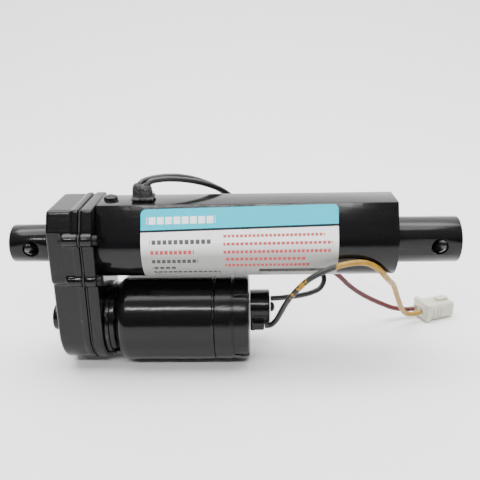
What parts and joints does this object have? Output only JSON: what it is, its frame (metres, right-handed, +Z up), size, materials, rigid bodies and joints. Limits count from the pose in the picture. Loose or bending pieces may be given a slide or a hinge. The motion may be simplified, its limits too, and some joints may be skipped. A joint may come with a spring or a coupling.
{
  "type": "linear actuator",
  "caption": "Compact electric linear actuator with a parallel brushed motor, spur gear housing, screw-driven extension tube and cross holes for mounting pins.",
  "frame": {"origin": "centre of the rear pin hole, on the axis of the screw and both tubes", "axes": "+X along the stroke towards the extension tube, -Y towards the label side, +Z up, away from the motor"},
  "size_m": [0.2394, 0.0721, 0.0976],
  "materials": {
    "black_paint": "gloss sprayed enamel over cast and drawn metal",
    "seal_rubber": "matt moulded rubber",
    "relief_rubber": "rough moulded rubber, oversprayed",
    "screw_steel": "blackened steel",
    "nylon": "milky translucent nylon",
    "label_film": "satin printed film",
    "gear_steel": "machined steel",
    "brass": "machined brass",
    "switch_plastic": "moulded thermoplastic",
    "ferrite": "sintered ferrite",
    "core_iron": "laminated iron",
    "copper": "turned copper",
    "carbon": "pressed carbon",
    "yellow_wire": "satin vinyl insulation",
    "black_wire": "satin vinyl insulation",
    "red_wire": "satin vinyl insulation"
  },
  "bodies": {
    "housing": {"gear_housing_cover": "black_paint", "housing_gasket": "seal_rubber", "gear_housing_base": "black_paint", "housing_screw_1": "screw_steel", "housing_screw_2": "screw_steel", "housing_screw_3": "screw_steel", "housing_screw_4": "screw_steel", "housing_screw_5": "screw_steel", "housing_screw_6": "screw_steel", "motor_axis_plug": "black_paint", "rear_mount_tube": "black_paint", "cover_tube": "black_paint", "cover_top_screw": "black_paint", "front_guide_bush": "nylon", "rod_wiper": "seal_rubber", "rating_label": "label_film", "retract_limit_switch": "switch_plastic", "extend_limit_switch": "switch_plastic", "screw_bearing_outer": "gear_steel", "cluster_axle": "gear_steel", "motor_front_plate": "black_paint", "motor_can": "black_paint", "motor_end_cap": "black_paint", "motor_lead_boss": "black_paint", "boss_cap": "black_paint", "front_magnet": "ferrite", "rear_magnet": "ferrite", "front_brush": "carbon", "rear_brush": "carbon", "motor_front_bearing": "gear_steel", "motor_rear_bearing": "gear_steel", "strain_relief": "relief_rubber", "yellow_lead": "yellow_wire", "black_lead": "black_wire", "red_lead": "red_wire", "connector_housing": "nylon", "front_terminal": "brass", "rear_terminal": "brass"},
    "armature": {"motor_shaft": "gear_steel", "armature_core": "core_iron", "commutator": "copper", "motor_pinion": "brass"},
    "cluster": {"cluster_gear": "gear_steel"},
    "screw": {"lead_screw": "gear_steel", "screw_wheel": "gear_steel", "screw_wheel_key": "gear_steel", "screw_bearing_inner": "gear_steel"},
    "rod": {"extension_tube": "black_paint", "drive_nut": "brass"}
  },
  "joints": [
    {"name": "motor_spin", "type": "hinge", "parent": "housing", "child": "armature", "pos_m": [0, 0, -0.0422], "axis": [-1, 0, 0], "range_deg": [-10, 48990]},
    {"name": "cluster_spin", "type": "hinge", "parent": "housing", "child": "cluster", "pos_m": [0, 0, -0.023], "axis": [-1, 0, 0], "range_deg": [-16330, 10]},
    {"name": "screw_spin", "type": "hinge", "parent": "housing", "child": "screw", "pos_m": [0, 0, 0], "axis": [-1, 0, 0], "range_deg": [-5, 5765]},
    {"name": "rod_extend", "type": "slide", "parent": "housing", "child": "rod", "axis": [1, 0, 0], "range_m": [0, 0.0508]}
  ],
  "couplings": [
    {"joint": "motor_spin", "follows": "rod_extend", "rad_per_m": 16821},
    {"joint": "cluster_spin", "follows": "rod_extend", "rad_per_m": -5607},
    {"joint": "screw_spin", "follows": "rod_extend", "rad_per_m": 1979}
  ]
}
